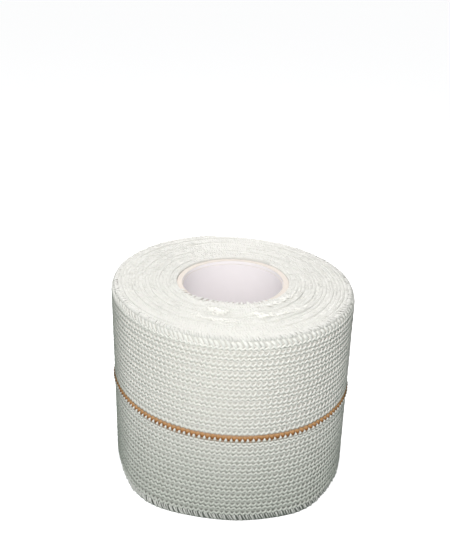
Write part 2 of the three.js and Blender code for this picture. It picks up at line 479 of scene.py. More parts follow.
def settle(obj):
    """Applies the object's place and modifiers, so that its shape is all in its mesh."""
    deselect_all()
    obj.select_set(True)
    bpy.context.view_layer.objects.active = obj
    for modifier in list(obj.modifiers):
        bpy.ops.object.modifier_apply(modifier=modifier.name)
    bpy.ops.object.transform_apply(location=True, rotation=True, scale=True)


def select_where(obj, kind, test):
    """Selects the vertices or the edges of an edited mesh whose middle passes a test."""
    bpy.ops.object.mode_set(mode="OBJECT")
    mesh = obj.data
    for part in (mesh.vertices, mesh.edges, mesh.polygons):
        part.foreach_set("select", [False] * len(part))
    for item in getattr(mesh, kind):
        if kind == "vertices":
            middle = item.co
        else:
            corners = [mesh.vertices[i].co for i in item.vertices]
            middle = sum(corners, Vector()) / len(corners)
        item.select = test(middle)
    bpy.ops.object.mode_set(mode="EDIT")
    bpy.ops.mesh.select_mode(type={"vertices": "VERT", "edges": "EDGE"}[kind])


def new_piece(name, points, faces, material, attributes=None):
    """A mesh object from arrays, shaded smooth, on the one body."""
    mesh = bpy.data.meshes.new(name)
    mesh.from_pydata(np.asarray(points).reshape(-1, 3).tolist(), [], faces)
    for label, values in (attributes or {}).items():
        values = np.asarray(values, dtype=np.float32)
        kind = "FLOAT_VECTOR" if values.ndim == 2 else "FLOAT"
        layer = mesh.attributes.new(label, kind, "POINT")
        layer.data.foreach_set("vector" if values.ndim == 2 else "value", values.ravel())
    mesh.polygons.foreach_set("use_smooth", [True] * len(mesh.polygons))
    mesh.materials.append(material)
    mesh.validate()
    mesh.update()
    obj = bpy.data.objects.new(name, mesh)
    bpy.context.collection.objects.link(obj)
    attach(obj, "root")
    return obj


def arrays_of(obj):
    """A mesh's points, normals and faces, after which the object is removed."""
    mesh = obj.data
    points = np.array([v.co for v in mesh.vertices])
    normals = np.array([v.normal for v in mesh.vertices])
    faces = [tuple(face.vertices) for face in mesh.polygons]
    bpy.data.objects.remove(obj)
    bpy.data.meshes.remove(mesh)
    return points, normals, faces


def yarn_row(sizes, path, radius, girth, sides=6):
    """One yarn along the whole outer turn, flat: a ring extruded through one repeat, copied
    along the strip, joined end to end and capped. Its band's middle lies on y = 0. girth
    is the ring's size at each stop of the path."""
    repeat = outer_length(sizes) / sizes.repeats
    stops = [Vector((x * repeat, y * MM, z * MM)) for x, y, z in path]
    stops.append(stops[0] + Vector((repeat, 0, 0)))
    legs = [(stops[at + 1] - stops[at]).xy.normalized() for at in range(len(path))]
    facing = [legs[at - 1] + leg for at, leg in enumerate(legs)]
    angles = [math.atan2(way.y, way.x) for way in facing]
    deselect_all()
    bpy.ops.mesh.primitive_circle_add(
        vertices=sides, radius=radius * girth[0], location=stops[0],
        rotation=(0, math.pi / 2, angles[0]))
    obj = made("yarn repeat")
    obj.scale = (1, YARN_FLATNESS, 1)
    settle(obj)
    select_all_in_edit()
    for at in range(1, len(stops)):
        this, move = at % len(path), stops[at] - stops[at - 1]
        bpy.ops.mesh.extrude_region_move(TRANSFORM_OT_translate={"value": move})
        bpy.ops.transform.rotate(
            value=angles[at - 1] - angles[this], orient_axis="Z", center_override=stops[at])
        size = girth[this] / girth[at - 1]
        bpy.ops.transform.resize(value=(size, size, size), center_override=stops[at])
    bpy.ops.object.mode_set(mode="OBJECT")
    array = obj.modifiers.new("Repeats", "ARRAY")
    array.count = sizes.repeats
    array.use_relative_offset = False
    array.use_constant_offset = True
    array.constant_offset_displace = (repeat, 0, 0)
    array.use_merge_vertices = True
    array.merge_threshold = MERGE_DISTANCE
    settle(obj)
    select_all_in_edit()
    bpy.ops.mesh.remove_doubles(threshold=MERGE_DISTANCE)
    bpy.ops.mesh.fill_holes(sides=sides)
    bpy.ops.mesh.select_all(action="SELECT")
    bpy.ops.mesh.normals_make_consistent(inside=False)
    bpy.ops.object.mode_set(mode="OBJECT")
    return arrays_of(obj)


def band_middle(sizes, band):
    return FIRST_VALLEY + (band + 0.5) * sizes.band_pitch


def unevenness(sizes, x, seed):
    """How far the hand of the cloth moves a yarn, from a seeded draw at each half repeat."""
    draw = np.random.default_rng(seed)
    knots = np.linspace(-0.02, 1.02, 2 * sizes.repeats) * outer_length(sizes)
    moves = [np.interp(x, knots, draw.normal(0, s, len(knots))) for s in YARN_UNEVENNESS]
    return np.stack(moves, -1)


def woven_rows(sizes, name, row, bands, seed, material):
    """Copies a flat yarn row to its bands, makes it uneven and winds it on the roll."""
    points, normals, faces = row
    all_points, all_flat, all_faces = [], [], []
    repeat = outer_length(sizes) / sizes.repeats
    for at, band in enumerate(bands):
        flat = points.copy()
        flat[:, 0] += BAND_SHIFT * repeat * np.random.default_rng(band).normal()
        flat[:, 1] += band_middle(sizes, band)
        flat += unevenness(sizes, points[:, 0], seed + band)
        all_flat.append(flat)
        all_points.append(wind(sizes, flat))
        start = at * len(points)
        all_faces += [tuple(i + start for i in face) for face in faces]
    flat = np.concatenate(all_flat)
    attributes = {"strip": flat, "around": np.tile(normals, (len(bands), 1))}
    return new_piece(name, np.concatenate(all_points), all_faces, material, attributes)


def stroke_shape():
    """A short thread end, modelled once: a ball drawn out along X, from -1 to 1."""
    deselect_all()
    bpy.ops.mesh.primitive_uv_sphere_add(
        segments=6, ring_count=4, radius=1, rotation=(0, math.pi / 2, 0))
    obj = made("thread end")
    settle(obj)
    select_where(obj, "vertices", lambda co: abs(abs(co.x) - math.sqrt(0.5)) < 0.1)
    bpy.ops.transform.resize(value=(1.12, 1.2, 1.2))
    bpy.ops.object.mode_set(mode="OBJECT")
    points, _, faces = arrays_of(obj)
    return points, faces


def strokes(shape, start, middle, end, half_width, half_depth):
    """Bends the thread end along one curve for each row of start, middle and end, in flat
    coordinates whose third axis points off the cloth. One row of points for each."""
    points, _ = shape
    share = (points[:, 0] / np.abs(points[:, 0]).max() + 1)[None, :, None] / 2
    start, middle, end = (np.asarray(p)[:, None, :] for p in (start, middle, end))
    centre = start * (1 - share) ** 2 + 2 * middle * share * (1 - share) + end * share**2
    along = (middle - start) * (1 - share) + (end - middle) * share
    along = along / np.linalg.norm(along, axis=-1, keepdims=True)
    nearly_off_cloth = np.array((0.001, 0, 1.0))
    side = np.cross(nearly_off_cloth, along)
    side = side / np.linalg.norm(side, axis=-1, keepdims=True)
    off = np.cross(along, side)
    width = np.broadcast_to(half_width, len(start))[:, None, None]
    depth = np.broadcast_to(half_depth, len(start))[:, None, None]
    return centre + side * points[None, :, 1:2] * width + off * points[None, :, 2:3] * depth


def stroke_piece(name, shape, placed, material):
    points, faces = shape
    count = len(placed)
    all_faces = [
        tuple(i + at * len(points) for i in face) for at in range(count) for face in faces
    ]
    shade = np.random.default_rng(count).uniform(0, 1, count)
    attributes = {"shade": np.repeat(shade, len(points))}
    return new_piece(
        name, placed.reshape(-1, 3), all_faces, material, attributes)


def on_turn(placed, azimuth, radius):
    """Flat points of thread ends to their places on a turn: x along it, y outwards."""
    x, y, z = np.moveaxis(placed, -1, 0)
    return place_round(azimuth[:, None] + x / radius[:, None], radius[:, None] + y, z)


# Materials

def socket(group, name, kind, default=None, output=False):
    direction = "OUTPUT" if output else "INPUT"
    item = group.interface.new_socket(name=name, in_out=direction, socket_type=kind)
    if default is not None:
        item.default_value = default
    return item


def node(tree, kind, inputs=None, **settings):
    """Adds a node, sets it up, and fills its inputs with values or with other outputs."""
    made_node = tree.nodes.new(kind)
    for key, value in settings.items():
        setattr(made_node, key, value)
    for key, value in (inputs or {}).items():
        target = made_node.inputs[key]
        if isinstance(value, bpy.types.NodeSocket):
            tree.links.new(value, target)
        else:
            target.default_value = value
    return made_node


def math_node(tree, operation, *values):
    return node(tree, "ShaderNodeMath", dict(enumerate(values)), operation=operation).outputs[0]


def mix_colour(tree, share, first, second, blend="MIX"):
    inputs = {0: share, 6: first, 7: second}
    return node(
        tree, "ShaderNodeMix", inputs, data_type="RGBA", blend_type=blend).outputs[2]


def map_range(tree, value, low, high, to_low=0.0, to_high=1.0):
    """Takes a value from one range to another, and holds it there."""
    return node(tree, "ShaderNodeMapRange", {
        "Value": value, "From Min": low, "From Max": high, "To Min": to_low,
        "To Max": to_high}).outputs["Result"]


def separate(tree, vector):
    return node(tree, "ShaderNodeSeparateXYZ", {0: vector}).outputs


def new_group(name):
    group = bpy.data.node_groups.new(name, "ShaderNodeTree")
    return group, group.nodes.new("NodeGroupInput"), group.nodes.new("NodeGroupOutput")


def fibre_fuzz_group():
    """Height and shade of short fibres that stand off the thread, at two scales."""
    group, inputs, outputs = new_group("Fibre fuzz")
    socket(group, "Vector", "NodeSocketVector")
    socket(group, "Scale", "NodeSocketFloat", 6000.0)
    socket(group, "Height", "NodeSocketFloat", output=True)
    socket(group, "Shade", "NodeSocketFloat", output=True)
    vector, scale = inputs.outputs["Vector"], inputs.outputs["Scale"]
    fine = node(group, "ShaderNodeTexNoise", {"Vector": vector, "Scale": scale, "Detail": 3.0})
    coarse_scale = math_node(group, "MULTIPLY", scale, 0.12)
    coarse = node(
        group, "ShaderNodeTexNoise", {"Vector": vector, "Scale": coarse_scale, "Detail": 2.0})
    group.links.new(fine.outputs["Fac"], outputs.inputs["Height"])
    total = math_node(group, "ADD", fine.outputs["Fac"], coarse.outputs["Fac"])
    group.links.new(math_node(group, "MULTIPLY", total, 0.5), outputs.inputs["Shade"])
    return group


def yarn_twist_group():
    """Height of the plies of a twisted yarn, from its flat place and the way it faces."""
    group, inputs, outputs = new_group("Yarn twist")
    socket(group, "Strip", "NodeSocketVector")
    socket(group, "Around", "NodeSocketVector")
    socket(group, "Plies", "NodeSocketFloat", 3.0)
    socket(group, "Twists", "NodeSocketFloat", 9000.0)
    socket(group, "Height", "NodeSocketFloat", output=True)
    place = separate(group, inputs.outputs["Strip"])
    facing = separate(group, inputs.outputs["Around"])
    angle = math_node(group, "ARCTAN2", facing["Z"], facing["Y"])
    across = math_node(group, "MULTIPLY", angle, inputs.outputs["Plies"])
    along = math_node(group, "ADD", place["X"], place["Y"])
    along = math_node(group, "MULTIPLY", along, inputs.outputs["Twists"])
    wave = math_node(group, "SINE", math_node(group, "ADD", across, along))
    height = math_node(group, "MULTIPLY_ADD", wave, 0.5, 0.5)
    group.links.new(height, outputs.inputs["Height"])
    return group


def new_material(name, roughness, sheen=0.0):
    material = bpy.data.materials.new(name)
    material.use_nodes = True
    tree = material.node_tree
    shader = tree.nodes["Principled BSDF"]
    shader.inputs["Roughness"].default_value = roughness
    shader.inputs["Specular IOR Level"].default_value = 0.25
    shader.inputs["Sheen Weight"].default_value = sheen
    shader.inputs["Sheen Roughness"].default_value = 0.6
    return material, tree, shader


def rgba(colour, factor=1.0):
    return tuple(min(channel * factor, 1.0) for channel in colour) + (1.0,)


def object_coordinates(tree):
    return node(tree, "ShaderNodeTexCoord").outputs["Object"]


def attribute(tree, name, output="Vector"):
    return node(tree, "ShaderNodeAttribute", attribute_name=name).outputs[output]


def bump(tree, shader, height, distance, strength):
    made_bump = node(
        tree, "ShaderNodeBump", {"Height": height, "Distance": distance, "Strength": strength})
    tree.links.new(made_bump.outputs["Normal"], shader.inputs["Normal"])


def placed_group(tree, name, inputs):
    return node(tree, "ShaderNodeGroup", inputs, node_tree=bpy.data.node_groups[name]).outputs


def fibre_fuzz(tree, vector, scale):
    return placed_group(tree, "Fibre fuzz", {"Vector": vector, "Scale": scale})


def mottled(tree, fuzz, amount, colour, other):
    """The colour, with more of the other where the fuzz is thick."""
    share = math_node(tree, "MULTIPLY", fuzz["Shade"], amount)
    return mix_colour(tree, share, colour, other)


def painted_turn_and_floor_shade(tree, colour):
    """Painted shade on the colour: darker near the floor, and where the roll's side turns away
    from the viewer. That second darkening follows the camera."""
    white = (1.0, 1.0, 1.0, 1.0)
    place = separate(tree, object_coordinates(tree))
    outward = node(tree, "ShaderNodeCombineXYZ", {"X": place["X"], "Y": place["Y"], "Z": 0.0})
    outward = node(tree, "ShaderNodeVectorMath", {0: outward.outputs[0]}, operation="NORMALIZE")
    facing = node(tree, "ShaderNodeLayerWeight", {
        "Blend": 0.5, "Normal": outward.outputs["Vector"]}).outputs["Facing"]
    aside = mix_colour(tree, map_range(tree, facing, *SIDE_FACING), white, SIDE_SHADE)
    low = map_range(tree, place["Z"], 0.0, FLOOR_SHADE_HEIGHT, 1.0, 0.0)
    below = mix_colour(tree, low, white, FLOOR_SHADE)
    shaded = mix_colour(tree, 1.0, aside, below, blend="MULTIPLY")
    return mix_colour(tree, 1.0, colour, shaded, blend="MULTIPLY")


def deep_shade(tree, colour):
    """The colour of what lies deep in the weave: light from above reaches it less and less
    towards the floor."""
    height = separate(tree, object_coordinates(tree))["Z"]
    share = map_range(tree, height, *DEEP_SHADE_HEIGHTS, DEEP_SHADE, 1.0)
    return mix_colour(tree, 1.0, colour, share, blend="MULTIPLY")


def twisted_yarn(name, plies, twists, relief, strength, sheen=0.0):
    """A yarn's material with the relief of its plies and fibres, and what its colours need:
    its attributes and its fuzz."""
    material, tree, shader = new_material(name, 0.85, sheen)
    strip, around = attribute(tree, "strip"), attribute(tree, "around")
    twist = placed_group(
        tree, "Yarn twist", {"Strip": strip, "Around": around, "Plies": plies, "Twists": twists})
    fuzz = fibre_fuzz(tree, strip, 9000.0)
    height = math_node(tree, "MULTIPLY_ADD", fuzz["Height"], 0.6, twist["Height"])
    bump(tree, shader, height, relief, strength)
    return material, tree, shader, strip, around, fuzz


def yarn_material(name, colour, shadow_colour):
    """Twisted yarn, with painted shade where it dips to the ground cloth."""
    material, tree, shader, strip, _, fuzz = twisted_yarn(
        name, plies=2.0, twists=9000.0, relief=0.03 * MM, strength=0.8, sheen=0.12)
    low = map_range(tree, separate(tree, strip)["Z"], *YARN_DIPS, 1.0, 0.0)
    # Painted shade where the yarn dips to the ground cloth, deeper towards the floor
    dip_shaded_colour = mix_colour(tree, low, rgba(colour), deep_shade(tree, rgba(shadow_colour)))
    mixed = mottled(tree, fuzz, 0.3, dip_shaded_colour, rgba(shadow_colour))
    tree.links.new(painted_turn_and_floor_shade(tree, mixed), shader.inputs["Base Color"])
    return material


def marker_material(name, colours):
    """Coloured yarn: painted highlight on its upper side, painted shade where its beads turn in.
    """
    material, tree, shader, _, around, fuzz = twisted_yarn(
        name, plies=3.0, twists=7000.0, relief=0.04 * MM, strength=0.9)
    # Painted light: the beads' upper side takes the lit colour, their lower side the shaded one
    lit_upper_share = map_range(tree, separate(tree, around)["Y"], -0.1, 0.65)
    base = mix_colour(tree, lit_upper_share, rgba(colours.marker), rgba(colours.marker_painted_highlight))
    mixed = mottled(tree, fuzz, 0.2, base, rgba(colours.marker_painted_highlight))
    tree.links.new(painted_turn_and_floor_shade(tree, mixed), shader.inputs["Base Color"])
    return material


def thread_end_material(name, colour, shadow_colour):
    """Cut and looped thread ends: each a little lighter or darker than the next."""
    material, tree, shader = new_material(name, 0.9, sheen=0.12)
    fuzz = fibre_fuzz(tree, object_coordinates(tree), 9000.0)
    bump(tree, shader, fuzz["Height"], 0.04 * MM, 0.8)
    own = attribute(tree, "shade", "Fac")
    mixed = mottled(tree, fuzz, own, rgba(colour), rgba(shadow_colour))
    tree.links.new(mixed, shader.inputs["Base Color"])
    return material


def cloth_material(name, colours):
    """The strip itself: white at its edges, and on its sides ground cloth, partly its own
    duller tone and partly painted shade between the yarns.
    """
    material, tree, shader = new_material(name, 0.92, sheen=0.12)
    fuzz = fibre_fuzz(tree, object_coordinates(tree), 7000.0)
    bump(tree, shader, fuzz["Height"], 0.08 * MM, 0.9)
    edge = attribute(tree, "edge", "Fac")
    # Painted shade on the ground cloth, deeper towards the floor and where the side turns from the
    # viewer
    ground = painted_turn_and_floor_shade(tree, deep_shade(tree, rgba(colours.ground)))
    base = mix_colour(tree, edge, ground, rgba(colours.edge))
    mixed = mottled(tree, fuzz, 0.22, base, rgba(colours.edge, 0.85))
    tree.links.new(mixed, shader.inputs["Base Color"])
    return material


def board_material(name, colours):
    """Paperboard: a smooth paper face on the wall and cream fibres at the cut end."""
    material, tree, shader = new_material(name, 0.75)
    fuzz = fibre_fuzz(tree, object_coordinates(tree), 3500.0)
    facing = separate(tree, node(tree, "ShaderNodeNewGeometry").outputs["Normal"])["Z"]
    cut = map_range(tree, math_node(tree, "ABSOLUTE", facing), 0.25, 0.7)
    base = mix_colour(tree, cut, rgba(colours.board), rgba(colours.board_cut))
    mixed = mottled(tree, fuzz, 0.12, base, rgba(colours.board_cut, 0.8))
    tree.links.new(mixed, shader.inputs["Base Color"])
    bump(tree, shader, fuzz["Height"], 0.02 * MM, 0.6)
    return material


def floor_material(name, colours):
    """Pale lit floor that throws back less light than it shows, so the roll keeps its
    shading and the floor stays white."""
    material, tree, shader = new_material(name, 0.9)
    fuzz = fibre_fuzz(tree, object_coordinates(tree), 40.0)
    shown = mottled(tree, fuzz, 0.02, rgba(colours.floor), rgba(colours.floor, 0.9))
    seen = node(tree, "ShaderNodeLightPath").outputs["Is Camera Ray"]
    mixed = mix_colour(tree, seen, rgba(colours.floor_bounce), shown)
    tree.links.new(mixed, shader.inputs["Base Color"])
    glow = mix_colour(tree, seen, (0, 0, 0, 1), (1, 1, 1, 1))
    tree.links.new(glow, shader.inputs["Emission Color"])
    shader.inputs["Emission Strength"].default_value = FLOOR_GLOW
    return material


def finish_named(name, build, *values):
    """The material of that name, built the first time it is asked for."""
    return bpy.data.materials.get(name) or build(name, *values)


def bleached_yarn(colours):
    shadow = [share * channel for share, channel in zip((0.82, 0.79, 0.78), colours.cloth)]
    return finish_named("Bleached yarn", yarn_material, colours.cloth, shadow)


def thread_ends(colours):
    shadow = [0.88 * channel for channel in colours.edge]
    return finish_named("Thread ends", thread_end_material, colours.edge, shadow)


def pulled_threads(colours):
    return finish_named("Pulled threads", thread_end_material, colours.cloth, colours.edge)


# Pieces

class BANDAGE_OT_core(Operator):
    """Paperboard core with a rounded cut end and the edge of its lining paper"""
    bl_idname = "bandage.core"
    bl_label = "Core"

    def execute(self, context):
        outer, height = CORE_HIGH[0], CORE_HIGH[2] + BOARD_RISE
        widen = outer / BORE_RADIUS
        lining = (BORE_RADIUS - LINING_THICKNESS) / BORE_RADIUS
        lining_height = height - LINING_TOP - LINING_LEDGE - LINING_FOOT
        deselect_all()
        bpy.ops.mesh.primitive_circle_add(vertices=128, radius=BORE_RADIUS, location=(0, 0, 0))
        tube = made("board_core")
        select_all_in_edit()
        for rise, factor in (
                (0, widen), (height, 1), (0, 1 / widen), (-LINING_TOP, 1),
                (-LINING_LEDGE, lining), (-lining_height, 1), (-LINING_FOOT, 1 / lining)):
            bpy.ops.mesh.extrude_region_move(TRANSFORM_OT_translate={"value": (0, 0, rise)})
            bpy.ops.transform.resize(value=(factor, factor, 1), center_override=(0, 0, 0))
        bpy.ops.mesh.select_all(action="SELECT")
        bpy.ops.mesh.remove_doubles(threshold=MERGE_DISTANCE)
        bpy.ops.mesh.normals_make_consistent(inside=False)
        select_where(tube, "edges", lambda co: self.is_rim(co, outer, height))
        bpy.ops.mesh.bevel(offset=BOARD_ROUND, segments=3)
        bpy.ops.object.mode_set(mode="OBJECT")
        settle(tube)
        bpy.ops.object.shade_smooth_by_angle(angle=math.radians(50))
        for vertex in tube.data.vertices:
            azimuth = math.atan2(vertex.co.y, vertex.co.x)
            near_top = max(0, (vertex.co.z - height + WAVER_DEPTH) / WAVER_DEPTH)
            vertex.co.z += ripple(azimuth, BOARD_WAVERS) * MM * near_top
        colours = context.scene.bandage_colours
        tube.data.materials.append(finish_named("Core board", board_material, colours))
        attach(tube, "root")
        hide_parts("core_tube")
        return {"FINISHED"}

    def is_rim(self, co, outer, height):
        level = min(abs(co.z - z) for z in (0, height))
        aside = min(abs(co.to_2d().length - radius) for radius in (BORE_RADIUS, outer))
        return level < 0.01 * MM and aside < 0.02 * MM


class BANDAGE_OT_cloth(Operator):
    """The strip of cloth, one sheet wound from the core to its end at the back"""
    bl_idname = "bandage.cloth"
    bl_label = "Wound cloth"

    STEP = math.radians(3)

    def execute(self, context):
        sizes, colours = context.scene.bandage_sizes, context.scene.bandage_colours
        turns = turn_count(sizes)
        turn = np.linspace(0, turns, int(turns * 2 * math.pi / self.STEP))
        inner, outer, azimuth, top = cloth_edges(sizes, turn)
        section = self.inner_section(sizes, turn, inner, outer, azimuth, top)
        is_outer = (1 - smoothstep(turn, 1, 1 + SEAM_SHARE))[:, None, None]
        section = section * (1 - is_outer) + self.outer_section(sizes, turn) * is_outer
        radius, height = section[:, :, 0], section[:, :, 1]
        points = place_round(azimuth[:, None], radius, height)
        rows, around = radius.shape
        faces = [
            (r * around + a, r * around + (a + 1) % around,
             (r + 1) * around + (a + 1) % around, (r + 1) * around + a)
            for r in range(rows - 1) for a in range(around)
        ]
        faces.append(tuple(range(around))[::-1])
        faces.append(tuple(range((rows - 1) * around, rows * around)))
        edge = np.ones((rows, around))
        side_end = 3 + len(SIDE_HEIGHTS)
        edge[:, 1:side_end] = smoothstep(turn, 1, 1 + SEAM_SHARE)[:, None]
        edge[turn < 1, side_end:side_end + 3] = (0.4, 0.7, 0.9)
        material = finish_named("Crepe cloth", cloth_material, colours)
        cloth = new_piece(
            "wound_cloth", points, faces, material, {"edge": edge.ravel()})
        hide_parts("bandage_roll")
        return {"FINISHED"}

    def inner_section(self, sizes, turn, inner, outer, azimuth, top):
        """Corners of the strip's section: base, outer side, round top edge, inner side. The
        first turns' top edge leans over the core at the front."""
        places = {"inner": inner, "middle": (inner + outer) / 2, "outer": outer}
        lip = lip_by_turn(sizes, turn, azimuth)
        corners = [(inner, 0), (outer, 0)] + [(outer, height) for height in SIDE_HEIGHTS]
        for place, out, lean, drop in TOP_EDGE:
            corners.append((places[place] + out * MM - lean * lip, top - drop * MM))
        corners += [(inner, height) for height in reversed(SIDE_HEIGHTS)]
        return self.stacked(turn, corners)

    def outer_section(self, sizes, turn):
        """The outer turn's ground cloth, thinner and bent over the rim under its yarns."""
        centre = turn_radius(sizes, turn) - RIM_ROUND
        rim_start = sizes.cloth_width - RIM_ROUND
        far, near = RIM_ROUND - GROUND_DEPTH, RIM_ROUND - GROUND_DEPTH - GROUND_THICKNESS
        arc = [(far, 0), (far, 30), (far, 60), (far, 90), (near + 0.1 * MM, 100), (near, 90),
               (near, 45), (near, 0)]
        corners = [(near, 0), (far, 0)] + [(far, height) for height in SIDE_HEIGHTS]
        for reach, angle in arc:
            turned = math.radians(angle)
            corners.append((reach * math.cos(turned), rim_start + reach * math.sin(turned)))
        corners += [(near, height) for height in reversed(SIDE_HEIGHTS)]
        return self.stacked(turn, [(centre + out, height) for out, height in corners])

    def stacked(self, turn, corners):
        """Radius and height of each corner, for each step along the strip."""
        zero = np.zeros(len(turn))
        rows = [np.stack((zero + radius, zero + height), -1) for radius, height in corners]
        return np.stack(rows, 1)


class BANDAGE_OT_weave(Operator):
    """The outer turn's weave: crest, foot and stretch yarns in bands round the side"""
    bl_idname = "bandage.weave"
    bl_label = "Weave"

    def execute(self, context):
        sizes, colours = context.scene.bandage_sizes, context.scene.bandage_colours
        material = bleached_yarn(colours)
        thin, thick = sizes.yarn_radius, sizes.stretch_yarn_radius
        plain = [band for band in range(BANDS - 1) if band != MARKER_BAND]
        lower, upper = range(MARKER_BAND), range(MARKER_BAND + 1, BANDS - 1)
        for name, path, girth, radius, bands, seed in (
                ("crest_yarns", CREST_PATH, CREST_GIRTH, thin, plain, 100),
                ("foot_yarns_low", FOOT_PATH, FOOT_GIRTH, thin, lower, 200),
                ("foot_yarns_high", FOOT_PATH, FOOT_GIRTH, thin, upper, 200),
                ("binder_yarn", BINDER_PATH, BINDER_GIRTH, thin, [MARKER_BAND], 200),
                ("stretch_yarns", STRETCH_PATH, STRETCH_GIRTH, thick, plain, 300),
                ("valley_yarns", VALLEY_PATH, STRETCH_GIRTH, thick, range(1, BANDS), 300)):
            row = yarn_row(sizes, path, radius, girth)
            woven_rows(sizes, name, row, bands, seed, material)
        return {"FINISHED"}


class BANDAGE_OT_marker(Operator):
    """The coloured yarn along the middle of the strip"""
    bl_idname = "bandage.marker"
    bl_label = "Centre yarn"

    def execute(self, context):
        sizes, colours = context.scene.bandage_sizes, context.scene.bandage_colours
        finish = finish_named("Coloured yarn", marker_material, colours)
        beads = yarn_row(sizes, MARKER_PATH, sizes.marker_radius, MARKER_GIRTH, sides=10)
        core = woven_rows(
            sizes, "marker_yarn", beads, [MARKER_BAND], 400, finish)
        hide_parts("centre_yarn")
        # Brownish painted shade along both edges of the beads, as straight yarns
        shade = finish_named("Tinted yarn", yarn_material, colours.tinted, colours.tinted)
        for at, path in enumerate(BEAD_SHADE_PATHS):
            tinted = yarn_row(sizes, path, sizes.stretch_yarn_radius, STRETCH_GIRTH)
            woven_rows(
                sizes, f"tinted_yarn_{at}", tinted, [MARKER_BAND], 300, shade)
        return {"FINISHED"}


